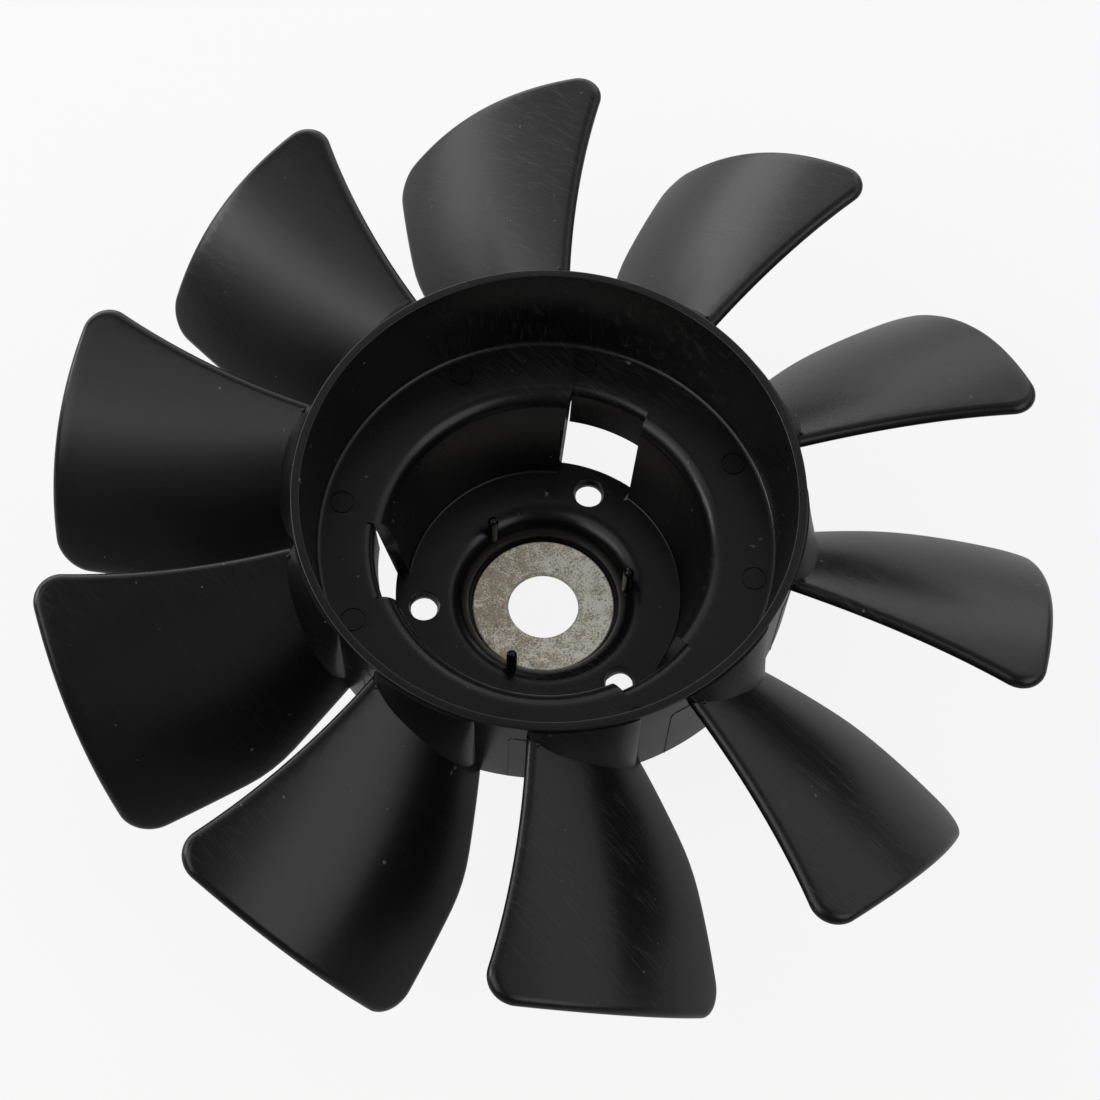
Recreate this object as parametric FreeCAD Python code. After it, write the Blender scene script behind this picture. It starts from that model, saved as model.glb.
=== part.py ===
"""Axial fan impeller: ten cambered blades on a cup-shaped hub, with a steel hub washer.

Millimetres. The fan axis is Z and the open mouth of the cup faces +Z.
The origin is on the axis, in the plane of the hub's rear seat.
"""
import FreeCAD, Part
import math
import os

from FreeCAD import Vector

# Sizes of the whole wheel
tip_diameter = 178.0
blade_count = 10
rim_height = 52.0
# Direction of the first blade's centre line, of the first bolt hole and of the first pip pair
blade_azimuth = 281.05
bolt_azimuth = 70.8
ejector_azimuth = 10.0

# Outer band: the short drum that carries the blades
band_radius = 44.4
band_depth = 23.4
rim_wall = 1.6
band_foot_wall = 3.0
rim_edge_round = 0.6
band_rear_round = 0.4

# Ledge: the flat ring between the band and the cup
ledge_depth = 20.4
ledge_corner_round = 1.0
ledge_lip_round = 3.6

# Cup: the tapered inner wall and its floor
cup_mouth_radius = 29.4
cup_wall = 1.7
cup_foot_radius = 26.0
floor_depth = 43.0
floor_thickness = 2.6
floor_corner_round = 0.5
cup_rear_round = 1.2
cup_joint_round = 1.0

# Dished centre with the seat of the washer
dish_radius = 19.4
dish_round = 3.0
dish_rear_round = 2.0
dish_foot_round = 1.0
dish_floor_margin = 0.9
seat_hole_radius = 10.0
seat_thickness = 1.5
seat_edge_round = 0.3
seat_rear_round = 1.2

# Steel washer and its clearance in the seat
washer_radius = 13.6
washer_bore_radius = 6.75
washer_thickness = 1.5
washer_clearance = 0.25
washer_chamfer = 0.2

# Wall windows, one over each bolt hole
window_count = 3
window_width = 14.7
window_wall_clearance = 0.2
window_lip_depth = 10.8
window_lip_wall = 1.8
window_lip_round = 2.2
window_lip_edge_round = 0.3

# Bolt holes, upright pins and ejector marks
bolt_circle_radius = 22.9
bolt_hole_radius = 2.75
bolt_hole_chamfer = 0.3
pin_circle_radius = 16.0
pin_radius = 1.0
pin_tip_above_floor = 5.2
ejector_circle_radius = 37.8
ejector_radius = 2.3
ejector_groove = 0.35
ejector_groove_depth = 0.3
ejector_pairs = 4
ejector_half_spread = 18.0

# Blade: plan outline in the blade's own plane, where u runs outwards and w towards the rear edge
blade_pitch = 34.9
blade_plane_depth = 14.6
blade_thickness = 2.4
edge_root_depth = 2.4
front_root_w = -14.6
front_tip_w = -27.3
front_bow = 1.7
rear_root_w = 12.4
rear_tip_w = 23.0
rear_kink_u = 60.7
rear_kink_w = 21.5
rear_kink_round = 25.0
tip_corner_round = 5.3
# Height of the blade's middle surface over that plane, at the root and at the tip
front_root_lift = 4.0
front_tip_lift = -2.4
rear_root_lift = -1.8
rear_tip_lift = -3.5
root_camber = 2.8
tip_camber = 5.7

# Root fairing: the flared boss that leads each blade's front face into the band
fairing_bulge = 3.8
fairing_top_bulge = 0.4
fairing_top_gap = 0.9
fairing_sink = 0.2
fairing_squareness = 3.0
fairing_stations = 9

# Worked-out sizes
tip_radius = tip_diameter / 2
ledge_z = rim_height - ledge_depth
floor_z = rim_height - floor_depth
floor_under_z = floor_z - floor_thickness
band_rear_z = rim_height - band_depth
washer_top_z = seat_thickness + washer_thickness
seat_radius = washer_radius + washer_clearance
blade_plane_z = rim_height - blade_plane_depth
band_foot_radius = band_radius - band_foot_wall
window_radius = cup_mouth_radius + cup_wall + window_wall_clearance
window_joint_radius = window_radius + ledge_lip_round
blade_edge_round = 0.36 * blade_thickness
blade_inner_radius = band_radius - rim_wall / 2
edge_root_u = band_radius - edge_root_depth
# How far the blade's cutting shapes run past its finished edges, and how many sections they have
loft_overhang = 4.0
root_overrun = 2.0
tip_overrun = 2.0
plate_stations = 5
prism_height = 60.0
Z_AXIS = Vector(0, 0, 1)
CENTRE = Vector(0, 0, 0)


def rounded_wire(points):
    """Close a wire in the XZ plane through (x, z, corner radius) points."""
    corners = [Vector(x, 0, z) for x, z, _ in points]
    count = len(corners)
    starts, ends, arcs = [], [], []
    for i, (_, _, radius) in enumerate(points):
        here = corners[i]
        back = (corners[i - 1] - here).normalize()
        ahead = (corners[(i + 1) % count] - here).normalize()
        if radius == 0:
            starts.append(here)
            ends.append(here)
            arcs.append(None)
            continue
        half = math.acos(max(-1.0, min(1.0, back.dot(ahead)))) / 2
        reach = radius / math.tan(half)
        bisector = (back + ahead).normalize()
        centre = here + bisector * (radius / math.sin(half))
        starts.append(here + back * reach)
        ends.append(here + ahead * reach)
        arcs.append(Part.Arc(starts[-1], centre - bisector * radius, ends[-1]).toShape())
    edges = []
    for i in range(count):
        if arcs[i] is not None:
            edges.append(arcs[i])
        following = starts[(i + 1) % count]
        if (following - ends[i]).Length > 1e-6:
            edges.append(Part.LineSegment(ends[i], following).toShape())
    return Part.Wire(edges)


def turned(points, start_angle=0.0, sweep=360.0):
    """Revolve a rounded section about Z."""
    face = Part.Face(rounded_wire(points))
    solid = face.revolve(CENTRE, Z_AXIS, sweep)
    solid.rotate(CENTRE, Z_AXIS, start_angle)
    return solid


def around(shape, angle):
    copy = shape.copy()
    copy.rotate(CENTRE, Z_AXIS, angle)
    return copy


def polar(radius, angle, z):
    turn = math.radians(angle)
    return Vector(radius * math.cos(turn), radius * math.sin(turn), z)


# Hub body: band, ledge, cup, floor and dish as one turned section
def hub_body():
    dish_foot = seat_radius + dish_floor_margin
    under_dish_radius = dish_radius + floor_thickness * 0.6
    section = [
        (seat_hole_radius, 0, seat_edge_round),
        (dish_foot + floor_thickness * 0.5, 0, seat_rear_round),
        (under_dish_radius, floor_under_z, dish_rear_round),
        (cup_foot_radius + cup_wall, floor_under_z, cup_rear_round),
        (cup_mouth_radius + cup_wall, band_rear_z, cup_joint_round),
        (band_radius, band_rear_z, band_rear_round),
        (band_radius, rim_height, rim_edge_round),
        (band_radius - rim_wall, rim_height, rim_edge_round),
        (band_foot_radius, ledge_z, ledge_corner_round),
        (cup_mouth_radius, ledge_z, ledge_lip_round),
        (cup_foot_radius, floor_z, floor_corner_round),
        (dish_radius, floor_z, dish_round),
        (dish_foot, washer_top_z, dish_foot_round),
        (seat_radius, washer_top_z, 0),
        (seat_radius, seat_thickness, 0),
        (seat_hole_radius, seat_thickness, 0),
    ]
    return turned(section)


# Windows: the cup wall is open over each bolt hole, and the ledge turns down behind the opening
def window_space(angle):
    corner = Vector(0, -window_width / 2, floor_z)
    return around(Part.makeBox(window_joint_radius, window_width, rim_height - floor_z, corner), angle)


def window_cutter(angle):
    return Part.makeCylinder(window_joint_radius, rim_height).common(window_space(angle))


def window_lip(angle):
    lip_z = ledge_z - window_lip_depth
    lip_outer = window_radius + window_lip_wall
    ring = turned([
        (window_radius, lip_z, window_lip_edge_round),
        (lip_outer, lip_z, window_lip_edge_round),
        (lip_outer, band_rear_z, 0),
        (window_joint_radius, band_rear_z, 0),
        (window_joint_radius, ledge_z, 0),
        (window_radius, ledge_z, window_lip_round),
    ])
    return ring.common(window_space(angle))


def bolt_hole(angle):
    foot = polar(bolt_circle_radius, angle, 0)
    hole = Part.makeCylinder(bolt_hole_radius, rim_height, foot)
    wide = bolt_hole_radius + bolt_hole_chamfer
    mouth_foot = polar(bolt_circle_radius, angle, floor_z - bolt_hole_chamfer)
    mouth = Part.makeCone(bolt_hole_radius, wide, bolt_hole_chamfer, mouth_foot)
    return hole.fuse(mouth)


def upright_pin(angle):
    foot = polar(pin_circle_radius, angle, seat_thickness)
    tip_z = floor_z + pin_tip_above_floor - pin_radius
    shank = Part.makeCylinder(pin_radius, tip_z - seat_thickness, foot)
    tip = Part.makeSphere(pin_radius, polar(pin_circle_radius, angle, tip_z))
    return shank.fuse(tip)


def ejector_mark(angle):
    foot = polar(ejector_circle_radius, angle, ledge_z - ejector_groove_depth)
    disc = Part.makeCylinder(ejector_radius, ejector_groove_depth * 2, foot)
    core = Part.makeCylinder(ejector_radius - ejector_groove, ejector_groove_depth * 2, foot)
    return disc.cut(core)


# Blade: its own frame has u along the radius, w down the pitch and n across the plate
PITCH = math.radians(blade_pitch)
W_DIRECTION = Vector(0, math.cos(PITCH), -math.sin(PITCH))
N_DIRECTION = Vector(0, math.sin(PITCH), math.cos(PITCH))


def blade_point(u, w, n):
    return Vector(u, 0, blade_plane_z) + W_DIRECTION * w + N_DIRECTION * n


def blend(root_value, tip_value, u):
    share = (u - band_radius) / (tip_radius - band_radius)
    return root_value + (tip_value - root_value) * share


def tip_u(w):
    y = w * math.cos(PITCH)
    return math.sqrt(tip_radius ** 2 - y ** 2)


def front_line(u):
    """Straight line through the ends of the front edge."""
    slope = (front_tip_w - front_root_w) / (tip_u(front_tip_w) - edge_root_u)
    return front_root_w + slope * (u - edge_root_u)


def rear_curve(u):
    """Parabola through the root, the kink and the tip of the rear edge."""
    inner_slope = (rear_kink_w - rear_root_w) / (rear_kink_u - edge_root_u)
    outer_slope = (rear_tip_w - rear_kink_w) / (tip_u(rear_tip_w) - rear_kink_u)
    bend = (outer_slope - inner_slope) / (tip_u(rear_tip_w) - edge_root_u)
    out = u - edge_root_u
    return rear_root_w + inner_slope * out + bend * out * (u - rear_kink_u)


def plate_height(u, share):
    """Height of the middle surface, share running from the front line (0) to the rear curve (1)."""
    front = blend(front_root_lift, front_tip_lift, u)
    rear = blend(rear_root_lift, rear_tip_lift, u)
    camber = blend(root_camber, tip_camber, u)
    return front + (rear - front) * share + camber * 4 * share * (1 - share)


def blade_section(u, below, above):
    """A closed section across the blade at u, between two offsets of the middle surface."""
    width = rear_curve(u) - front_line(u)
    overhang = loft_overhang / width
    low, high = [], []
    for share in (-overhang, 0.5, 1 + overhang):
        w = front_line(u) + width * share
        n = plate_height(u, share)
        low.append(blade_point(u, w, n - below))
        high.append(blade_point(u, w, n + above))
    return Part.Wire([
        Part.Arc(low[0], low[1], low[2]).toShape(),
        Part.LineSegment(low[2], high[2]).toShape(),
        Part.Arc(high[2], high[1], high[0]).toShape(),
        Part.LineSegment(high[0], low[0]).toShape(),
    ])


def blade_slab(below, above, root_u):
    step = (tip_radius + tip_overrun - root_u) / (plate_stations - 1)
    sections = [blade_section(root_u + step * i, below, above) for i in range(plate_stations)]
    return Part.makeLoft(sections, True, False)


def blade_outline(root_u):
    """Prism over the plan outline, with its tip corners and the rear kink rounded."""
    def plan(u, w):
        return blade_point(u, w, -prism_height / 2)
    front_u = tip_u(front_tip_w)
    middle_w = (front_tip_w + rear_tip_w) / 2
    inner_slope = (rear_kink_w - rear_root_w) / (rear_kink_u - edge_root_u)
    front_end = plan(root_u, front_line(root_u))
    front_root = plan(edge_root_u, front_root_w)
    front_middle = plan((edge_root_u + front_u) / 2, (front_root_w + front_tip_w) / 2 + front_bow)
    front_tip = plan(front_u, front_tip_w)
    rear_tip = plan(tip_u(rear_tip_w), rear_tip_w)
    kink = plan(rear_kink_u, rear_kink_w)
    rear_end = plan(root_u, rear_root_w - inner_slope * (edge_root_u - root_u))
    wire = Part.Wire([
        Part.LineSegment(front_end, front_root).toShape(),
        Part.Arc(front_root, front_middle, front_tip).toShape(),
        Part.Arc(front_tip, plan(tip_u(middle_w), middle_w), rear_tip).toShape(),
        Part.LineSegment(rear_tip, kink).toShape(),
        Part.LineSegment(kink, rear_end).toShape(),
        Part.LineSegment(rear_end, front_end).toShape(),
    ])
    prism = Part.Face(wire).extrude(N_DIRECTION * prism_height)

    def upright_edge(corner):
        for edge in prism.Edges:
            ends = [vertex.Point for vertex in edge.Vertexes]
            if len(ends) == 2 and all((p - corner).cross(N_DIRECTION).Length < 1e-4 for p in ends):
                return edge
    prism = prism.makeFillet(tip_corner_round, [upright_edge(front_tip), upright_edge(rear_tip)])
    return prism.makeFillet(rear_kink_round, [upright_edge(kink)])


def blade():
    inner_u = math.sqrt(blade_inner_radius ** 2 - front_root_w ** 2) - root_overrun
    half = blade_thickness / 2
    plate = blade_slab(half, half, inner_u - root_overrun).common(blade_outline(inner_u))
    broad_faces = sorted(plate.Faces, key=lambda face: face.Area)[-2:]
    outer_edges = []
    for face in broad_faces:
        for edge in face.Edges:
            if max(vertex.X for vertex in edge.Vertexes) > edge_root_u:
                outer_edges.append(edge)
    plate = plate.makeFillet(blade_edge_round, outer_edges)
    core = Part.makeCylinder(blade_inner_radius, rim_height * 2)
    return plate.cut(core)


# Fairing: four-sided sections side by side along the root, each from under the rim to the blade
def middle_surface_z(u, y):
    n = 0.0
    for _ in range(12):
        w = (y - n * math.sin(PITCH)) / math.cos(PITCH)
        share = (w - front_line(u)) / (rear_curve(u) - front_line(u))
        n = plate_height(u, share)
    return blade_plane_z - w * math.sin(PITCH) + n * math.cos(PITCH)


def fairing():
    front_y = blade_point(band_radius, front_root_w, front_root_lift).y
    rear_y = blade_point(band_radius, rear_root_w, rear_root_lift).y
    top_z = rim_height - fairing_top_gap
    sections = []
    for i in range(fairing_stations):
        share = (1 - math.cos(math.pi * i / (fairing_stations - 1))) / 2
        y = front_y + (rear_y - front_y) * share
        fullness = (1 - abs(2 * share - 1) ** fairing_squareness) ** (1 / fairing_squareness)
        base = band_radius - fairing_sink
        corners = []
        for bulge in (fairing_top_bulge, fairing_bulge):
            radius = base + (bulge + fairing_sink) * fullness
            corners.append(math.sqrt(radius ** 2 - y ** 2))
        inner = math.sqrt(blade_inner_radius ** 2 - y ** 2)
        sections.append(Part.makePolygon([
            Vector(inner, y, top_z),
            Vector(corners[0], y, top_z),
            Vector(corners[1], y, middle_surface_z(corners[1], y)),
            Vector(inner, y, middle_surface_z(inner, y)),
            Vector(inner, y, top_z),
        ]))
    return Part.makeLoft(sections, True, False)


def fan_moulding():
    hub = hub_body()
    bolt_angles = [bolt_azimuth + i * 360 / window_count for i in range(window_count)]
    hub = hub.cut([window_cutter(angle) for angle in bolt_angles])
    pins = [upright_pin(angle + 180 / window_count) for angle in bolt_angles]
    blade_set = []
    pattern = blade().fuse(fairing())
    for i in range(blade_count):
        blade_set.append(around(pattern, blade_azimuth + i * 360 / blade_count))
    hub = hub.fuse([window_lip(angle) for angle in bolt_angles] + pins + blade_set)
    cuts = [bolt_hole(angle) for angle in bolt_angles]
    for i in range(ejector_pairs):
        centre = ejector_azimuth + i * 360 / ejector_pairs
        cuts.append(ejector_mark(centre - ejector_half_spread))
        cuts.append(ejector_mark(centre + ejector_half_spread))
    return hub.cut(cuts).removeSplitter()


def hub_washer():
    ring = Part.makeCylinder(washer_radius, washer_thickness, Vector(0, 0, seat_thickness))
    bore = Part.makeCylinder(washer_bore_radius, washer_thickness, Vector(0, 0, seat_thickness))
    washer = ring.cut(bore)
    rims = [edge for edge in washer.Edges if edge.Closed]
    return washer.makeChamfer(washer_chamfer, rims)


os.makedirs("parts", exist_ok=True)
nodes = {"fan_moulding": fan_moulding(), "hub_washer": hub_washer()}
for name, shape in nodes.items():
    solids = shape.Solids
    box = shape.BoundBox
    print(name, "solids", len(solids), "valid", shape.isValid(), "volume", round(shape.Volume, 1))
    print("  x", round(box.XMin, 2), round(box.XMax, 2), "y", round(box.YMin, 2), round(box.YMax, 2),
          "z", round(box.ZMin, 2), round(box.ZMax, 2))
    solids[0].exportStep("parts/" + name + ".step")
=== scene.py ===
# %% [markdown]
# # Axial fan impeller
# The object is an injection-moulded fan wheel in satin black plastic: ten pitched blades on a cup-shaped
# hub, with one plated steel washer lying in the hub's centre. The CAD part is the fixed frame and stays as
# it is. Here the moulding's skin is built again, finely enough for soft reflections, and both pieces get
# their finish.

import math

import bmesh
import bpy
import numpy as np
from mathutils import Matrix, Vector
from mathutils.geometry import delaunay_2d_cdt


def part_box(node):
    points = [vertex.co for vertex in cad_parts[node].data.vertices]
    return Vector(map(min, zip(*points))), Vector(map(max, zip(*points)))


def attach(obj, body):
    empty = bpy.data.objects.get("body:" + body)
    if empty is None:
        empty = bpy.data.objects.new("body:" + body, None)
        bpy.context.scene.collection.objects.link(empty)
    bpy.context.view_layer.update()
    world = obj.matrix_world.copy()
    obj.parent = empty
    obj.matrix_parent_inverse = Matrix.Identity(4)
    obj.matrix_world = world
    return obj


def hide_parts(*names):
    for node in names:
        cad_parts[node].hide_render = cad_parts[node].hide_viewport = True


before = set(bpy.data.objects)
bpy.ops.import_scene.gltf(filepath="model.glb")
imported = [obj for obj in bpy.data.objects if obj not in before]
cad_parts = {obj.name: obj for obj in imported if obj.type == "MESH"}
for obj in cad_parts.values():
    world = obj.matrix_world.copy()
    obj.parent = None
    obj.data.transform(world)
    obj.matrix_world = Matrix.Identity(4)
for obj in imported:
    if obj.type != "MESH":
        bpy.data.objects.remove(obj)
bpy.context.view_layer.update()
MM = 0.001

# %% [markdown]
# ## Sizes
# The frame gives the washer's place and size. A rim, a wall or a rounding can't be read from a bounding box,
# so those are named here in millimetres. Most have the CAD source's values, and some roundings are fuller.
# Heights count up from the flat seat at the rear, where the axis is Z.

# %% Sizes in millimetres
TIP_RADIUS, RIM_Z = 89.0, 52.0
BAND_RADIUS, BAND_HEIGHT, RIM_WALL = 44.4, 23.4, 1.6
LEDGE_DEPTH, BAND_FOOT_RADIUS = 20.4, 41.4
CUP_MOUTH_RADIUS, CUP_FOOT_RADIUS, CUP_WALL = 29.4, 26.0, 1.7
FLOOR_DEPTH, FLOOR_THICKNESS = 43.0, 2.6
BAND_REAR_Z, LEDGE_Z, FLOOR_Z = RIM_Z - BAND_HEIGHT, RIM_Z - LEDGE_DEPTH, RIM_Z - FLOOR_DEPTH

washer_low, washer_high = (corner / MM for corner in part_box("hub_washer"))
WASHER_GAP, SEAT_HOLE_RADIUS = 0.25, 10.0
SEAT_Z, WASHER_TOP_Z = washer_low.z, washer_high.z
SEAT_RADIUS = washer_high.x + WASHER_GAP
print("washer seat", round(SEAT_Z, 2), "to", round(WASHER_TOP_Z, 2), "radius", round(SEAT_RADIUS, 2))

# %% [markdown]
# ## Mesh helpers
# Most shapes here follow a rule, so their points come from numpy as rings, and one helper lays faces over
# the rings. The boolean that joins the shells works on solids, so each mesh has to be closed, and its faces
# have to point outwards. The hub's don't, which the step on the turned hub says more about.

# %% Mesh helpers


def piece_from(name, points, faces):
    """A new object from points in millimetres."""
    mesh = bpy.data.meshes.new(name)
    mesh.from_pydata([tuple(p) for p in np.asarray(points) * MM], [], [tuple(f) for f in faces])
    mesh.update()
    made = bpy.data.objects.new(name, mesh)
    bpy.context.scene.collection.objects.link(made)
    return made


def outward(made):
    """Turn every face of a closed piece to point outwards."""
    shell = bmesh.new()
    shell.from_mesh(made.data)
    bmesh.ops.recalc_face_normals(shell, faces=shell.faces)
    shell.to_mesh(made.data)
    shell.free()
    return made


def skin(rings, sides, endless=False):
    """Faces over a row of rings of points, which closes on itself or has a cap at each end."""
    faces = []
    for r in range(rings if endless else rings - 1):
        for s in range(sides):
            r2, s2 = (r + 1) % rings, (s + 1) % sides
            faces.append((r * sides + s, r * sides + s2, r2 * sides + s2, r2 * sides + s))
    if not endless:
        faces += [tuple(range(sides))[::-1], tuple(range((rings - 1) * sides, rings * sides))]
    return faces


def bake_modifiers(made):
    """Keep what an object's modifiers show as its plain mesh."""
    bpy.context.view_layer.update()
    shown = made.evaluated_get(bpy.context.evaluated_depsgraph_get())
    result = bpy.data.meshes.new_from_object(shown)
    made.modifiers.clear()
    made.data = result


def combine(target, others, operation):
    """Join other closed pieces to the target, or cut them from it, and remove them."""
    for other in others:
        step = target.modifiers.new(operation.lower(), "BOOLEAN")
        step.operation, step.solver, step.object = operation, "MANIFOLD", other
    bake_modifiers(target)
    for other in others:
        bpy.data.objects.remove(other)


# %% [markdown]
# ## Rounded outlines
# A moulded part has no sharp corner, and a modelled corner only catches light once it is rounded. A bevel
# modifier gives all edges the same rounding, so each outline here is a list of corners with a radius of its
# own, and a helper replaces each corner by an arc.

# %% Rounded outlines
ARC_STEP = math.radians(9)


def rounded(corners, step=ARC_STEP, longest=3.0):
    """Points along a closed outline of (x, y, corner radius), with arcs at the corners."""
    outline = []
    places = [np.array(c[:2], float) for c in corners]
    for i, (_, _, radius) in enumerate(corners):
        here = places[i]
        if radius == 0:
            outline.append(here)
            continue
        back = places[i - 1] - here
        ahead = places[(i + 1) % len(places)] - here
        back, ahead = back / np.linalg.norm(back), ahead / np.linalg.norm(ahead)
        half = math.acos(float(np.clip(back @ ahead, -1, 1))) / 2
        bisector = (back + ahead) / np.linalg.norm(back + ahead)
        centre = here + bisector * radius / math.sin(half)
        first = here + back * radius / math.tan(half) - centre
        last = here + ahead * radius / math.tan(half) - centre
        turn = math.atan2(first[0] * last[1] - first[1] * last[0], first @ last)
        count = max(2, math.ceil(abs(turn) / step))
        for k in range(count + 1):
            c, s = math.cos(turn * k / count), math.sin(turn * k / count)
            outline.append(centre + np.array([first[0] * c - first[1] * s, first[0] * s + first[1] * c]))
    dense = []
    for i, here in enumerate(outline):
        there = outline[(i + 1) % len(outline)]
        count = max(1, math.ceil(np.linalg.norm(there - here) / longest))
        dense += [here + (there - here) * k / count for k in range(count)]
    return np.array(dense)


# %% [markdown]
# ## The turned hub
# Rim, band, ledge, cup, floor and dish are one section turned round the axis, as the toolmaker's lathe made
# the mould. Blender's Spin or a Screw modifier could do it too. Plain points are used, because the joint of
# the first and last step is then closed without merging.
#
# A known fault: the hub isn't passed through outward(), and its faces point inwards. The booleans below then
# leave faces inside the walls, where blades and pins enter the hub. They are out of sight in a render, but
# they stay in the mesh. The repair is outward() on the hub here.

# %% Turn the hub
HUB_SEGMENTS, STRAIGHT_STEP = 264, 9.0
DISH_RADIUS, DISH_LEAN, DISH_ROUND = 19.4, 0.5, 5.4
DISH_FOOT_RADIUS = SEAT_RADIUS + 0.35
UNDER_DISH_Z = FLOOR_Z - FLOOR_THICKNESS


def turned(name, section, segments, centre=(0.0, 0.0)):
    """A closed section of (radius, z) points turned round an upright axis."""
    x, y = centre
    angles = np.arange(segments) * math.tau / segments
    points = [(x + r * math.cos(a), y + r * math.sin(a), z) for a in angles for r, z in section]
    return piece_from(name, points, skin(segments, len(section), endless=True))


hub = turned("fan_hub", rounded([
    (SEAT_HOLE_RADIUS, 0, 0.3),                                       # rear seat
    (DISH_FOOT_RADIUS + FLOOR_THICKNESS * 0.7, 0, 1.2),
    (DISH_RADIUS + FLOOR_THICKNESS * 0.6, UNDER_DISH_Z, 2.0),         # under side of the floor
    (CUP_FOOT_RADIUS + CUP_WALL, UNDER_DISH_Z, 1.2),
    (CUP_MOUTH_RADIUS + CUP_WALL, BAND_REAR_Z, 1.0),                  # outside of the cup
    (BAND_RADIUS, BAND_REAR_Z, 0.4),                                  # band
    (BAND_RADIUS, RIM_Z, 0.3),
    (BAND_RADIUS - RIM_WALL, RIM_Z, 0.3),                             # rim
    (BAND_FOOT_RADIUS, LEDGE_Z, 1.0),                                 # ledge
    (CUP_MOUTH_RADIUS, LEDGE_Z, 3.6),
    (CUP_FOOT_RADIUS, FLOOR_Z, 0.5),                                  # floor
    (DISH_FOOT_RADIUS + DISH_LEAN, FLOOR_Z, DISH_ROUND),              # dish
    (DISH_FOOT_RADIUS, WASHER_TOP_Z, 0),
    (SEAT_RADIUS, WASHER_TOP_Z, 0),                                   # seat of the washer
    (SEAT_RADIUS, SEAT_Z, 0),
    (SEAT_HOLE_RADIUS, SEAT_Z, 0),
], longest=STRAIGHT_STEP), HUB_SEGMENTS)
print("hub faces", len(hub.data.polygons))

# %% [markdown]
# ## Windows with their lips
# Three windows are open in the cup's wall, each over a bolt hole, and behind each window the ledge turns
# down in a short lip. A window has parallel sides but follows the round hub, so its cutter is a section
# carried sideways between two planes, with each point kept at its own radius.

# %% Window lips
WINDOW_HALF, WINDOW_RADIUS, WINDOW_LEAN = 7.35, CUP_MOUTH_RADIUS + CUP_WALL + 0.2, 0.5
LIP_ROUND, LIP_DEPTH, LIP_WALL, LIP_SINK = 2.2, 10.8, 1.8, 2.0
LIP_Z = LEDGE_Z - LIP_DEPTH
LIP_SIDE_GAP, LIP_OVERLAP = 0.05, 1.0
FIRST_BOLT = math.radians(70.8)
bolt_angles = [FIRST_BOLT + i * math.tau / 3 for i in range(3)]


def strip(name, section, half_width, angle, stations=25):
    """A section of (radius, z) points carried sideways between two planes, then turned to its angle."""
    c, s = math.cos(angle), math.sin(angle)
    points = []
    for y in np.linspace(-half_width, half_width, stations):
        for r, z in section:
            x = math.sqrt(max(r * r - y * y, 0))
            points.append((x * c - y * s, x * s + y * c, z))
    return outward(piece_from(name, points, skin(stations, len(section))))


lip_section = rounded([
    (WINDOW_RADIUS - LIP_SINK, LIP_Z, 0),
    (WINDOW_RADIUS + LIP_WALL, LIP_Z, 0.3),
    (WINDOW_RADIUS + LIP_WALL, BAND_REAR_Z + LIP_OVERLAP, 0),
    (WINDOW_RADIUS - LIP_SINK, BAND_REAR_Z + LIP_OVERLAP, 0),
])
combine(hub, [strip("lip", lip_section, WINDOW_HALF - LIP_SIDE_GAP, a) for a in bolt_angles], "UNION")
print("hub faces with lips", len(hub.data.polygons))

# %% [markdown]
# ## Bolt holes, ejector marks and pins
# The bolt holes widen towards both faces of the floor, as a moulded hole does. The ejector marks are fine
# rings pressed in the ledge, and the three pins stand on the dish. All are round and upright, so two small
# helpers make them: one for a stack of rings, and the turned section from above for a groove.

# %% Round helpers


def polar(distance, angle):
    return distance * math.cos(angle), distance * math.sin(angle)


def post(name, rings, centre=(0.0, 0.0), sides=48):
    """An upright round piece from rings of (radius, height)."""
    x, y = centre
    angles = np.arange(sides) * math.tau / sides
    points = [(x + r * math.cos(a), y + r * math.sin(a), z) for r, z in rings for a in angles]
    return outward(piece_from(name, points, skin(len(rings), sides)))


# %% Cut the windows, holes and marks
BOLT_CIRCLE, BOLT_RADIUS, BOLT_WAIST = 22.9, 2.75, 0.25
EJECTOR_CIRCLE, EJECTOR_RADIUS, EJECTOR_GROOVE, EJECTOR_DEPTH = 37.8, 2.3, 0.35, 0.25
EJECTOR_FIRST, EJECTOR_SPREAD, GROOVE_SEGMENTS = 10, 18, 64
CLEAR, CUT_START = 5, 10.0

opening_section = rounded([
    (CUT_START, FLOOR_Z, 0),
    (WINDOW_RADIUS - WINDOW_LEAN, FLOOR_Z, 0),
    (WINDOW_RADIUS - WINDOW_LEAN, LIP_Z, 0),
    (WINDOW_RADIUS, LEDGE_Z, LIP_ROUND),
    (WINDOW_RADIUS + CLEAR, LEDGE_Z, 0),
    (WINDOW_RADIUS + CLEAR, LEDGE_Z + CLEAR, 0),
    (CUT_START, LEDGE_Z + CLEAR, 0),
])
openings = [strip("opening", opening_section, WINDOW_HALF, a) for a in bolt_angles]

hole_rings = [(BOLT_RADIUS, -1), (BOLT_RADIUS, FLOOR_Z - 2.3), (BOLT_RADIUS - BOLT_WAIST, FLOOR_Z - 1.4),
              (BOLT_RADIUS + 0.15, FLOOR_Z - 0.1), (BOLT_RADIUS + 0.5, FLOOR_Z + 0.15)]
holes = [post("hole", hole_rings, polar(BOLT_CIRCLE, a)) for a in bolt_angles]

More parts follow.
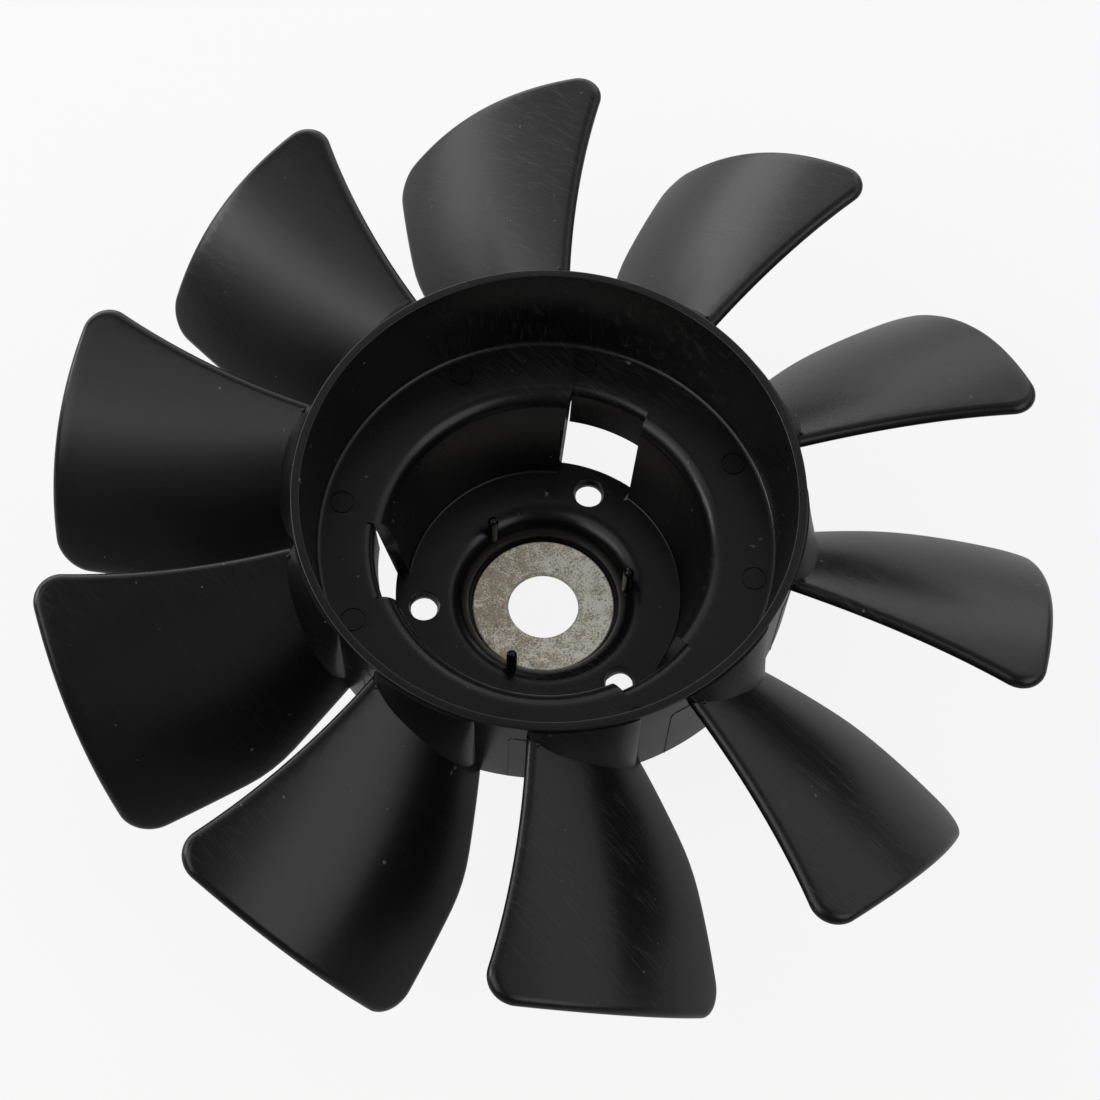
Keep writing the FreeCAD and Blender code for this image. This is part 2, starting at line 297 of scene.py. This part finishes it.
inner, outer = EJECTOR_RADIUS - EJECTOR_GROOVE, EJECTOR_RADIUS
groove_section = [(inner, LEDGE_Z + 1), (outer, LEDGE_Z + 1),
                  (outer - 0.1, LEDGE_Z - EJECTOR_DEPTH), (inner + 0.1, LEDGE_Z - EJECTOR_DEPTH)]
mark_angles = [EJECTOR_FIRST + 90 * i + EJECTOR_SPREAD * side for i in range(4) for side in (-1, 1)]
marks = [outward(turned("mark", groove_section, GROOVE_SEGMENTS, polar(EJECTOR_CIRCLE, math.radians(a))))
         for a in mark_angles]

combine(hub, openings + holes + marks, "DIFFERENCE")
print("hub faces with", len(openings), "windows,", len(holes), "holes and", len(marks), "marks",
      len(hub.data.polygons))

# %% Stand the pins
PIN_CIRCLE, PIN_RADIUS, PIN_TOP_Z = 16.0, 1.0, FLOOR_Z + 5.2

pin_rings = [(PIN_RADIUS, SEAT_Z + 0.2)] + [
    (PIN_RADIUS * math.cos(a), PIN_TOP_Z - PIN_RADIUS + PIN_RADIUS * math.sin(a))
    for a in np.linspace(0, math.radians(84), 8)]
pins = [post("pin", pin_rings, polar(PIN_CIRCLE, a + math.pi / 3)) for a in bolt_angles]
combine(hub, pins, "UNION")
print("hub faces with pins", len(hub.data.polygons))

# %% [markdown]
# ## The blade's rule
# The blade is a plate of even thickness over a plan outline. Its own frame has u outwards, w along the
# pitched plane from the front edge to the rear edge, and n square to that plane. The middle surface falls
# from front to rear, twists towards the tip and bulges to the front. A formula is used in place of sculpting,
# so that the CAD part and this skin bend alike. Pairs of values are for the root and the tip.

# %% The blade's rule
PITCH = math.radians(34.9)
BLADE_PLANE_Z = RIM_Z - 14.6
EDGE_ROOT_U = 42.0
FRONT_W, FRONT_BOW = (-14.6, -27.3), 1.7
REAR_W, KINK_U, KINK_W = (12.4, 23.0), 60.7, 21.5
FRONT_LIFT, REAR_LIFT, CAMBER = (4.0, -2.4), (-1.8, -3.5), (2.8, 5.7)


def blend(pair, u):
    """From the first value at the band to the second at the tip."""
    return pair[0] + (pair[1] - pair[0]) * (u - BAND_RADIUS) / (TIP_RADIUS - BAND_RADIUS)


def tip_u(w):
    """Where the tip's cylinder meets the blade's plane."""
    return np.sqrt(TIP_RADIUS ** 2 - (w * math.cos(PITCH)) ** 2)


FRONT_SLOPE = (FRONT_W[1] - FRONT_W[0]) / (tip_u(FRONT_W[1]) - EDGE_ROOT_U)
INNER_SLOPE = (KINK_W - REAR_W[0]) / (KINK_U - EDGE_ROOT_U)
OUTER_SLOPE = (REAR_W[1] - KINK_W) / (tip_u(REAR_W[1]) - KINK_U)
REAR_BEND = (OUTER_SLOPE - INNER_SLOPE) / (tip_u(REAR_W[1]) - EDGE_ROOT_U)


def plate_height(u, w):
    """Height of the middle surface over the blade's plane."""
    out = u - EDGE_ROOT_U
    front_w = FRONT_W[0] + FRONT_SLOPE * out
    rear_w = REAR_W[0] + INNER_SLOPE * out + REAR_BEND * out * (u - KINK_U)
    share = (w - front_w) / (rear_w - front_w)
    front, rear = blend(FRONT_LIFT, u), blend(REAR_LIFT, u)
    return front + (rear - front) * share + blend(CAMBER, u) * 4 * share * (1 - share)


def blade_place(u, w, n):
    """From the blade's own frame to the wheel, before the blade is turned to its place."""
    return np.column_stack([
        u,
        w * math.cos(PITCH) + n * math.sin(PITCH),
        BLADE_PLANE_Z - w * math.sin(PITCH) + n * math.cos(PITCH),
    ])


print("blade slopes", [round(float(v), 3) for v in (FRONT_SLOPE, INNER_SLOPE, OUTER_SLOPE)])

# %% [markdown]
# ## The blade's plan
# The outline is drawn straight-sided first, with its tip corners rounded and its rear kink softened. A
# second step lays it on the tip's cylinder and bows the front edge. So the corners stay simple to set.

# %% The blade's plan
PLAN_LENGTH, ROOT_OVERRUN = 44.0, 3.0
FRONT_TIP_ROUND, REAR_TIP_ROUND, KINK_ROUND = 4.4, 5.3, 25.0
BOW_REACH = 20.0


def plan_place(flat):
    """From the straight plan, where 0 is the edges' root and PLAN_LENGTH the tip, to (u, w)."""
    along = flat[:, 0] / PLAN_LENGTH
    w = flat[:, 1]
    front = FRONT_W[0] + (FRONT_W[1] - FRONT_W[0]) * along
    closeness = np.clip(1 - (w - front) / BOW_REACH, 0, 1)
    u = EDGE_ROOT_U + along * (tip_u(w) - EDGE_ROOT_U)
    return u, w + FRONT_BOW * 4 * np.clip(along, 0, 1) * (1 - along) * closeness


def unit(vectors):
    return vectors / np.linalg.norm(vectors, axis=1)[:, None]


def blade_plan():
    """The plan's outline, and the outward direction at each of its points."""
    kink_along = (KINK_U - EDGE_ROOT_U) / (tip_u(KINK_W) - EDGE_ROOT_U) * PLAN_LENGTH
    outline = rounded([
        (-ROOT_OVERRUN, REAR_W[0] - INNER_SLOPE * ROOT_OVERRUN, 0),
        (-ROOT_OVERRUN, FRONT_W[0] - FRONT_SLOPE * ROOT_OVERRUN, 0),
        (PLAN_LENGTH, FRONT_W[1], FRONT_TIP_ROUND),
        (PLAN_LENGTH, REAR_W[1], REAR_TIP_ROUND),
        (kink_along, KINK_W, KINK_ROUND),
    ], step=math.radians(6), longest=0.9)
    ahead = unit(np.roll(outline, -1, axis=0) - outline)
    behind = unit(outline - np.roll(outline, 1, axis=0))
    tangent = unit(ahead + behind)
    return outline, np.column_stack([tangent[:, 1], -tangent[:, 0]])


# %% [markdown]
# ## The blade's skin
# One big face can't bend, so the plan is filled with a lattice of points joined into even triangles. The
# same triangles make the front and the rear face, and an arc swept round the outline closes them with a
# rounded edge.

# %% Fill the plan with triangles
LATTICE = 1.35
ROW_STEP, LATTICE_MARGIN = LATTICE * 0.87, LATTICE * 0.6


def fill_plan(ring):
    """The points of a ring and of a lattice inside it, and triangles over them that all face up."""
    low, high = ring.min(0), ring.max(0)
    lattice = np.array([(x, y) for row, y in enumerate(np.arange(low[1], high[1], ROW_STEP))
                        for x in np.arange(low[0] + LATTICE * (row % 2) / 2, high[0], LATTICE)])
    gap = np.linalg.norm(lattice[:, None] - ring[None], axis=2).min(1)
    flat = [Vector(p) for p in np.vstack([ring, lattice[gap > LATTICE_MARGIN]])]
    loop = [(i, (i + 1) % len(ring)) for i in range(len(ring))]
    spots, _, triangles, _, _, _ = delaunay_2d_cdt(flat, loop, [], 1, 1e-6)
    spots = np.array([tuple(s) for s in spots])
    facing_up = []
    for a, b, c in triangles:
        (bx, by), (cx, cy) = spots[b] - spots[a], spots[c] - spots[a]
        facing_up.append((a, b, c) if bx * cy > by * cx else (a, c, b))
    return spots, facing_up


# %% Build one blade
BLADE_THICKNESS, EDGE_ROUND, EDGE_STEPS = 2.4, 1.15, 5


def build_blade():
    outline, outer = blade_plan()
    spots, triangles = fill_plan(outline - outer * EDGE_ROUND)
    ring, size, half = len(outline), len(spots), BLADE_THICKNESS / 2
    u, w = plan_place(spots)
    middle = plate_height(u, w)
    points = [blade_place(u, w, middle + half), blade_place(u, w, middle - half)]
    faces = triangles + [(a + size, c + size, b + size) for a, b, c in triangles]
    bend = np.linspace(0, math.pi / 2, EDGE_STEPS + 1)[1:]
    profile = [(EDGE_ROUND * (math.sin(a) - 1), half - EDGE_ROUND * (1 - math.cos(a))) for a in bend]
    profile += [(out, -height) for out, height in profile[::-1]]
    for out, height in profile:
        u, w = plan_place(outline + outer * out)
        points.append(blade_place(u, w, plate_height(u, w) + height))
    starts = [0] + [2 * size + k * ring for k in range(len(profile))] + [size]
    for upper, lower in zip(starts, starts[1:]):
        for i in range(ring):
            j = (i + 1) % ring
            faces.append((upper + i, lower + i, lower + j, upper + j))
    return outward(piece_from("blade", np.vstack(points), faces))


blade = build_blade()
print("blade faces", len(blade.data.polygons))

# %% [markdown]
# ## The fairing at each root
# A flared boss leads the front face of each blade into the band. It is a row of upright sections: narrow
# under the rim, and swelling to its full width where it meets the blade. A power curve makes it swell fast
# at its ends and stay full between them, as the moulding does.

# %% Build one fairing
FAIRING_BULGE, FAIRING_TOP_BULGE, FAIRING_TOP_GAP, FAIRING_SINK = 3.8, 0.4, 0.9, 0.2
SQUARENESS = 3.0
BAND_MIDDLE_RADIUS = BAND_RADIUS - RIM_WALL / 2


def root_y(w, lift):
    """Sideways place of one of the blade's edges at its root."""
    return w * math.cos(PITCH) + lift * math.sin(PITCH)


def surface_z(u, y):
    """Height of the blade's middle surface over (u, y), found by correcting the guess a few times."""
    n = 0.0
    for _ in range(12):
        w = (y - n * math.sin(PITCH)) / math.cos(PITCH)
        n = plate_height(u, w)
    return BLADE_PLANE_Z - w * math.sin(PITCH) + n * math.cos(PITCH)


def build_fairing(stations=49, levels=9):
    front_y, rear_y = root_y(FRONT_W[0], FRONT_LIFT[0]), root_y(REAR_W[0], REAR_LIFT[0])
    top_z = RIM_Z - FAIRING_TOP_GAP
    points = []
    for i in range(stations):
        share = (1 - math.cos(math.pi * i / (stations - 1))) / 2
        y = front_y + (rear_y - front_y) * share
        fullness = (1 - abs(2 * share - 1) ** SQUARENESS) ** (1 / SQUARENESS)
        reach = [BAND_RADIUS - FAIRING_SINK + (bulge + FAIRING_SINK) * fullness
                 for bulge in (FAIRING_TOP_BULGE, FAIRING_BULGE)]
        top, foot = (math.sqrt(r * r - y * y) for r in reach)
        inside = math.sqrt(BAND_MIDDLE_RADIUS ** 2 - y * y)
        foot_z = surface_z(foot, y)
        points += [(inside, y, surface_z(inside, y)), (inside, y, top_z)]
        for level in np.linspace(0, 1, levels):
            points.append((top + (foot - top) * level, y, top_z + (foot_z - top_z) * level))
    return outward(piece_from("fairing", points, skin(stations, levels + 2)))


# %% [markdown]
# ## The pip and the witness line
# A small moulding pip stands in the blade's front corner. Beside it the mould's parting left a fine raised
# line on the band: a short way sideways, a rounded turn, then down to the band's rear edge. Bump alone would
# vanish at a low angle, so the line is a thin strip with sloping sides that follows the band.

# %% Build one pip
PIP_U, PIP_INSET, PIP_RADIUS = 45.2, 0.8, 0.42


def build_pip(rings=9, sides=16):
    w = FRONT_W[0] + PIP_INSET
    centre = blade_place(PIP_U, w, plate_height(PIP_U, w) + BLADE_THICKNESS / 2)[0]
    points = []
    for i in range(1, rings):
        a = math.pi * i / rings
        for b in np.arange(sides) * math.tau / sides:
            away = np.array([math.sin(a) * math.cos(b), math.sin(a) * math.sin(b), math.cos(a)])
            points.append(centre + PIP_RADIUS * away)
    return outward(piece_from("pip", points, skin(rings - 1, sides)))


# %% Build one witness line
WITNESS_STEP, WITNESS_TURN, WITNESS_DROP = 3.3, 1.2, 5.0
WITNESS_WIDTH, WITNESS_HEIGHT, WITNESS_SINK, WITNESS_FLAT = 0.36, 0.12, 0.4, 0.3
WITNESS_START, WITNESS_END = 0.6, 0.5


def build_witness_line():
    start = root_y(FRONT_W[0], FRONT_LIFT[0])
    side, high = start - WITNESS_STEP, RIM_Z - WITNESS_DROP
    path = [(start + WITNESS_START, high), (side + WITNESS_TURN, high)]
    path += [(side + WITNESS_TURN * (1 - math.sin(a)), high - WITNESS_TURN * (1 - math.cos(a)))
             for a in np.linspace(0, math.pi / 2, 7)[1:]]
    path = np.array(path + [(side, BAND_REAR_Z + WITNESS_END)])
    along = unit(np.gradient(path, axis=0))
    across = np.column_stack([-along[:, 1], along[:, 0]])
    low, top = BAND_RADIUS - WITNESS_SINK, BAND_RADIUS + WITNESS_HEIGHT
    points = []
    for here, away in zip(path, across):
        for share, radius in ((-1, low), (-WITNESS_FLAT, top), (WITNESS_FLAT, top), (1, low)):
            arc, z = here + away * share * WITNESS_WIDTH / 2
            points.append((*polar(radius, arc / BAND_RADIUS), z))
    return outward(piece_from("witness_line", points, skin(len(path), 4)))


# %% Join them to the blade
combine(blade, [build_fairing(), build_pip(), build_witness_line()], "UNION")
core = post("core", [(BAND_MIDDLE_RADIUS, 0), (BAND_MIDDLE_RADIUS, RIM_Z + 9)], sides=HUB_SEGMENTS)
combine(blade, [core], "DIFFERENCE")
print("blade with fairing, pip and line", len(blade.data.polygons))

# %% [markdown]
# ## Node helper
# Node trees are worked out as plain arithmetic: a wrapped socket adds, multiplies and divides like a number,
# and each operation adds its Math node. One method makes every other node, in materials, in the world and
# in Geometry Nodes alike.

# %% Node helper


class Wave:
    """A socket that can be used in arithmetic."""

    def __init__(self, nodes, socket):
        self.nodes, self.socket = nodes, socket

    def __add__(self, other): return self.nodes.maths("ADD", self, other)
    def __radd__(self, other): return self.nodes.maths("ADD", other, self)
    def __sub__(self, other): return self.nodes.maths("SUBTRACT", self, other)
    def __rsub__(self, other): return self.nodes.maths("SUBTRACT", other, self)
    def __mul__(self, other): return self.nodes.maths("MULTIPLY", self, other)
    def __rmul__(self, other): return self.nodes.maths("MULTIPLY", other, self)
    def __truediv__(self, other): return self.nodes.maths("DIVIDE", self, other)


class Nodes:
    """A node tree being built."""

    def __init__(self, tree):
        self.tree = tree

    def node(self, kind, settings=None, values=None, output=0):
        """Add a node with its settings and its inputs' values or links, and give one of its outputs."""
        made = self.tree.nodes.new(kind)
        for key, value in (settings or {}).items():
            setattr(made, key, value)
        for key, value in (values or {}).items():
            self.feed(made.inputs[key], value)
        return Wave(self, made.outputs[output]) if made.outputs else None

    def feed(self, socket, value):
        if isinstance(value, Wave):
            self.tree.links.new(value.socket, socket)
        else:
            socket.default_value = value

    def maths(self, operation, *values):
        return self.node("ShaderNodeMath", {"operation": operation}, dict(enumerate(values)))


# %% [markdown]
# ## Ten blades by Geometry Nodes
# The ten blades are one shape turned round the axis. An Array modifier with an empty would do it, but its
# angle hangs on a second object. A small tree places an instance on each of a row of points at the axis,
# turns it by its share of the circle, and makes it real at the end, because the export drops instances.

# %% The wheel pattern tree
PATTERN_INPUTS = {"Geometry": "Geometry", "Count": "Int", "First angle": "Float", "Material": "Material"}


def wheel_pattern_tree():
    tree = bpy.data.node_groups.new("wheel_pattern", "GeometryNodeTree")
    for name, kind in PATTERN_INPUTS.items():
        tree.interface.new_socket(name, in_out="INPUT", socket_type="NodeSocket" + kind)
    tree.interface.new_socket("Geometry", in_out="OUTPUT", socket_type="NodeSocketGeometry")
    nodes = Nodes(tree)
    given = {name: nodes.node("NodeGroupInput", output=name) for name in PATTERN_INPUTS}
    points = nodes.node("GeometryNodeMeshLine", {}, {"Count": given["Count"], "Offset": (0, 0, 0)})
    turn = nodes.node("GeometryNodeInputIndex") / given["Count"] * math.tau + given["First angle"]
    spin = nodes.node("ShaderNodeCombineXYZ", {}, {"Z": turn})
    placed = nodes.node("GeometryNodeInstanceOnPoints", {}, {
        "Points": points, "Instance": given["Geometry"], "Rotation": spin})
    real = nodes.node("GeometryNodeRealizeInstances", {}, {0: placed})
    painted = nodes.node("GeometryNodeSetMaterial", {}, {"Geometry": real, "Material": given["Material"]})
    nodes.node("NodeGroupOutput", {}, {0: painted})
    return tree


def repeat_round(made, count, first_angle, material):
    """Run the tree on a piece and keep the result as its plain mesh."""
    tree = wheel_pattern_tree()
    step = made.modifiers.new("pattern", "NODES")
    step.node_group = tree
    ids = {s.name: s.identifier for s in tree.interface.items_tree if s.in_out == "INPUT"}
    step[ids["Count"]] = count
    step[ids["First angle"]] = first_angle
    step[ids["Material"]] = material
    bake_modifiers(made)


# %% [markdown]
# ## Paint helper
# A material starts from Blender's Principled shader. Its patterns read object coordinates, so they need no
# unwrapping and stay put on the piece. A place counted in steps of a size can be long one way and short the
# other, which turns round noise into streaks.

# %% Paint helper


class Paint(Nodes):
    """A material being built on its Principled shader."""

    def __init__(self, name):
        self.material = bpy.data.materials.new(name)
        self.material.use_nodes = True
        super().__init__(self.material.node_tree)
        self.shader = self.tree.nodes["Principled BSDF"]

    def set(self, **values):
        for key, value in values.items():
            self.feed(self.shader.inputs[key.replace("_", " ")], value)

    def place(self, size=(1, 1, 1), turn=0.0):
        """Object coordinates, counted in steps of a size along axes turned about Z."""
        raw = self.node("ShaderNodeTexCoord", output="Object")
        return self.node("ShaderNodeMapping", {"vector_type": "TEXTURE"},
                         {"Vector": raw, "Scale": size, "Rotation": (0, 0, turn)})

    def noise(self, at, scale, detail=3.0, rough=0.5, distort=0.0):
        return self.node("ShaderNodeTexNoise", {}, {"Vector": at, "Scale": scale, "Detail": detail,
                                                    "Roughness": rough, "Distortion": distort})

    def ramp(self, value, low, high):
        """0 below low, 1 above high, smooth between."""
        return self.node("ShaderNodeMapRange", {"interpolation_type": "SMOOTHSTEP"},
                         {"Value": value, "From Min": low, "From Max": high})

    def mix(self, share, first, second):
        return self.node("ShaderNodeMix", {"data_type": "RGBA"}, {0: share, 6: first, 7: second}, output=2)

    def bump(self, height, strength, distance=0.0002):
        normal = self.node("ShaderNodeBump", {}, {"Height": height, "Strength": strength, "Distance": distance})
        self.set(Normal=normal)


# %% [markdown]
# ## Satin black plastic
# The moulding is glass-filled plastic: nearly black, with a soft sheen broken by very fine grain and faint
# clouds of flow. Hair-fine scuffs show where it was handled, a few specks of dust lie on it, and the dish is
# wiped a little smoother than the rest.

# %% The plastic
PLASTIC_DARK, PLASTIC_PALE = (0.0026, 0.0026, 0.0028, 1), (0.0042, 0.0041, 0.0041, 1)
SCUFF_COLOUR, DUST_COLOUR = (0.045, 0.045, 0.046, 1), (0.10, 0.10, 0.10, 1)
SCUFF_SIZE = (0.0003, 0.007, 0.004)
SCUFF_TURNS = ((0.85, 0.54), (1.2, 0.58))
WIPED_RADIUS, UNWIPED_RADIUS = 0.019, 0.025
PLASTIC_IOR, PLASTIC_ROUGHNESS = 1.33, 0.29


def scuff_lines(paint, at):
    """Fine streaks in two directions, kept to the places where hands were."""
    handled = paint.ramp(paint.noise(at, 17.0, 2.0, 0.5), 0.40, 0.66)
    lines = 0.0
    for turn, low in SCUFF_TURNS:
        streak = paint.noise(paint.place(SCUFF_SIZE, turn), 1.0, 2.0, 0.5)
        lines = lines + paint.ramp(streak, low, low + 0.16)
    return lines * handled


def plastic_material():
    paint = Paint("satin_black_plastic")
    at = paint.place()
    grain = paint.noise(at, 2400.0, 2.0, 0.6)
    cloud = paint.noise(at, 30.0, 4.0, 0.55)
    scuffs = scuff_lines(paint, at)
    dust = paint.ramp(paint.noise(at, 620.0, 1.0, 0.3), 0.785, 0.82)
    colour = paint.mix(cloud, PLASTIC_DARK, PLASTIC_PALE)
    colour = paint.mix(scuffs * 0.2, colour, SCUFF_COLOUR)
    colour = paint.mix(dust * 0.6, colour, DUST_COLOUR)
    radius = paint.node("ShaderNodeVectorMath", {"operation": "LENGTH"}, {0: at}, output=1)
    wiped = 1 - paint.ramp(radius, WIPED_RADIUS, UNWIPED_RADIUS)
    rough = PLASTIC_ROUGHNESS + 0.10 * (cloud - 0.5) + 0.06 * (grain - 0.5)
    rough = rough + 0.08 * scuffs + 0.2 * dust - 0.05 * wiped
    paint.set(Base_Color=colour, Roughness=rough, IOR=PLASTIC_IOR)
    paint.bump(0.5 * grain + 0.35 * scuffs + 1.5 * dust, 0.10)
    return paint.material


plastic = plastic_material()
print("plastic nodes", len(plastic.node_tree.nodes))

# %% [markdown]
# ## The whole moulding
# The ten blades are joined to the hub, and the result takes the place of the CAD moulding on the same body.
# Shading is smooth, except where two faces meet at more than a small angle.

# %% Repeat the blades and join them to the hub
BLADE_COUNT, FIRST_BLADE = 10, math.radians(281.05)
SHARP_ANGLE = math.radians(32)

repeat_round(blade, BLADE_COUNT, FIRST_BLADE, plastic)
combine(hub, [blade], "UNION")
hub.data.materials.clear()
hub.data.materials.append(plastic)
hub.data.polygons.foreach_set("use_smooth", [True] * len(hub.data.polygons))
hub.data.set_sharp_from_angle(angle=SHARP_ANGLE)
hub.data.update()

hub.name = "fan_moulding_skin"
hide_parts("fan_moulding")
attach(hub, "root")
hub.data.calc_loop_triangles()
print("moulding triangles", len(hub.data.loop_triangles))

# %% [markdown]
# ## The washer
# A stamped washer with dull zinc plating. It is browner and darker towards the left, paler towards the right,
# mottled finely all over, and has small dark pits. The CAD mesh is round and flat enough to keep, so it only
# gets a material.

# %% The washer's finish
BROWN_ZINC, PALE_ZINC = (0.52, 0.45, 0.33, 1), (0.96, 0.94, 0.85, 1)
PIT_COLOUR = (0.20, 0.17, 0.13, 1)
# How fast the colour turns from the brown zinc to the pale zinc along X, per metre.
PALER_PER_METRE_RIGHTWARDS = 7.0


def washer_material():
    paint = Paint("mottled_zinc")
    at = paint.place()
    blotch = paint.noise(at, 420.0, 6.0, 0.68, 0.4)
    fine = paint.noise(at, 3000.0, 3.0, 0.6)
    rightwards = paint.node("ShaderNodeSeparateXYZ", {}, {0: at})
    # On top of the mottling, the colour grows browner and darker towards the left and paler towards the right
    # along X.
    paleness = paint.ramp(blotch + 1.2 * (fine - 0.5) + PALER_PER_METRE_RIGHTWARDS * rightwards, 0.36, 0.64)
    pit = paint.ramp(paint.noise(at, 1900.0, 2.0, 0.5), 0.60, 0.68)
    colour = paint.mix(paleness, BROWN_ZINC, PALE_ZINC)
    colour = paint.mix(pit * 0.7, colour, PIT_COLOUR)
    paint.set(Base_Color=colour, Metallic=0.45, Roughness=0.42 + 0.2 * (1 - paleness) + 0.1 * fine)
    paint.bump(fine - 0.6 * pit, 0.25)
    return paint.material


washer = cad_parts["hub_washer"]
washer.data.materials.clear()
washer.data.materials.append(washer_material())
print("washer nodes", len(washer.data.materials[0].node_tree.nodes))

# %% [markdown]
# ## Floor and world
# The floor is plain and pale and keeps the object's shadow. A white floor would throw light up under the
# wheel and wash out the black plastic, so its own colour is a mid grey, and a glow that the camera sees
# makes it pale. Reflections see a weaker share of the glow. The world is dim for the same reason, and pale
# where the camera looks past the floor.

# %% Floor and world
FLOOR_HALF = 3000.0
FLOOR_COLOUR, FLOOR_ROUGHNESS = (0.5, 0.5, 0.5, 1), 0.9
GLOW_SHARE, GLOW_IN_REFLECTIONS = 0.87, 0.3
WORLD_LIGHT, WORLD_IN_REFLECTIONS, WORLD_SEEN = 0.12, 0.06, 0.8


def ray(nodes, kind):
    """1 for rays of one kind and 0 for all others."""
    return nodes.node("ShaderNodeLightPath", output="Is %s Ray" % kind)


def floor_material():
    paint = Paint("pale_floor")
    paint.set(Base_Color=FLOOR_COLOUR, Roughness=FLOOR_ROUGHNESS)
    mirrored = paint.maths("MAXIMUM", ray(paint, "Glossy"), ray(paint, "Transmission"))
    seen = paint.maths("MAXIMUM", mirrored * GLOW_IN_REFLECTIONS, ray(paint, "Camera"))
    lit = Wave(paint, paint.shader.outputs[0])
    glow = paint.node("ShaderNodeEmission")
    shown = paint.node("ShaderNodeMixShader", {}, {0: seen * GLOW_SHARE, 1: lit, 2: glow})
    paint.feed(paint.tree.nodes["Material Output"].inputs["Surface"], shown)
    return paint.material


corners = [(-FLOOR_HALF, -FLOOR_HALF, 0), (FLOOR_HALF, -FLOOR_HALF, 0),
           (FLOOR_HALF, FLOOR_HALF, 0), (-FLOOR_HALF, FLOOR_HALF, 0)]
floor = piece_from("floor", corners, [(0, 1, 2, 3)])
floor.data.materials.append(floor_material())

world = bpy.data.worlds.new("studio")
bpy.context.scene.world = world
world.use_nodes = True
sky = Nodes(world.node_tree)
background = world.node_tree.nodes["Background"]
background.inputs["Color"].default_value = (1, 1, 1, 1)
strength = WORLD_LIGHT + WORLD_IN_REFLECTIONS * ray(sky, "Glossy") + WORLD_SEEN * ray(sky, "Camera")
sky.feed(background.inputs["Strength"], strength)
print("floor half width in m", FLOOR_HALF * MM)

# %% [markdown]
# ## Lamps
# A glossy black object shows its surroundings more than its own colour. So each lamp stands for one pale
# part of the room round the object, and the highlights on the blades told how large and bright it is. The
# radiance is what a mirror would show, and a lamp's power follows from it and from the lamp's area.

# %% Lamps
LAMP_DISTANCE = 900.0


def lamp(name, azimuth, elevation, width, height, radiance):
    """A soft box aimed at the hub, its sizes in degrees. Azimuth 0 is towards -Y and 90 towards +X."""
    a, e = math.radians(azimuth), math.radians(elevation)
    away = Vector((math.sin(a) * math.cos(e), -math.cos(a) * math.cos(e), math.sin(e)))
    light = bpy.data.lights.new(name, "AREA")
    light.shape = "RECTANGLE"
    light.size = 2 * LAMP_DISTANCE * MM * math.tan(math.radians(width / 2))
    light.size_y = 2 * LAMP_DISTANCE * MM * math.tan(math.radians(height / 2))
    light.energy = radiance * math.pi * light.size * light.size_y
    made = bpy.data.objects.new(name, light)
    facing = away.to_track_quat("Z", "Y").to_matrix().to_4x4()
    made.matrix_world = Matrix.Translation(away * LAMP_DISTANCE * MM) @ facing
    bpy.context.scene.collection.objects.link(made)
    return made


lamps = [
    lamp("wall_right", 128, 32, 68, 34, 1.05),
    lamp("wall_left", 198, 32, 68, 34, 1.05),
    lamp("low_wall_right", 165, 5, 34, 34, 1.4),
    lamp("low_wall_left", 218, 5, 68, 34, 3.1),
    lamp("ceiling", 150, 62, 80, 30, 0.4),
    lamp("right_box", 62, 43, 36, 34, 2.4),
    lamp("left_window", 262, 22, 20, 20, 9.0),
    lamp("left_box", 295, 42, 36, 20, 3.6),
    lamp("left_top", 290, 62, 44, 22, 1.6),
]
print("lamps", len(lamps), "with", round(sum(made.data.energy for made in lamps), 2), "W in all")

# %% [markdown]
# ## Camera
# The camera stands where the photograph's stood. Its distance, tilt and roll were worked out from the hub's
# circles, which show as ellipses, and from the blades' outlines. The focal length is known in pixels of the
# square frame, and the sensor's width turns it into millimetres.

# %% Camera
AIM = Vector((0.66, -11.78, RIM_Z))
DISTANCE, FOCAL_PIXELS, FRAME_PIXELS, SENSOR = 361.1, 2136.0, 1100.0, 36.0
ELEVATION, ROLL = math.radians(64.29), math.radians(3.28)

back = Vector((0, -math.cos(ELEVATION), math.sin(ELEVATION)))
up = Vector((0, math.sin(ELEVATION), math.cos(ELEVATION)))
right = Vector((1, 0, 0))
across = right * math.cos(ROLL) + up * math.sin(ROLL)
upward = up * math.cos(ROLL) - right * math.sin(ROLL)

camera = bpy.data.objects.new("camera", bpy.data.cameras.new("camera"))
camera.data.sensor_width = SENSOR
camera.data.lens = SENSOR * FOCAL_PIXELS / FRAME_PIXELS
camera.data.clip_start, camera.data.clip_end = 0.01, 20.0
camera.matrix_world = (Matrix.Translation((AIM + back * DISTANCE) * MM)
                       @ Matrix((across, upward, back)).transposed().to_4x4())
bpy.context.scene.collection.objects.link(camera)
bpy.context.scene.camera = camera
bpy.context.scene.view_settings.view_transform = "Standard"
print("lens in mm", round(camera.data.lens, 1))
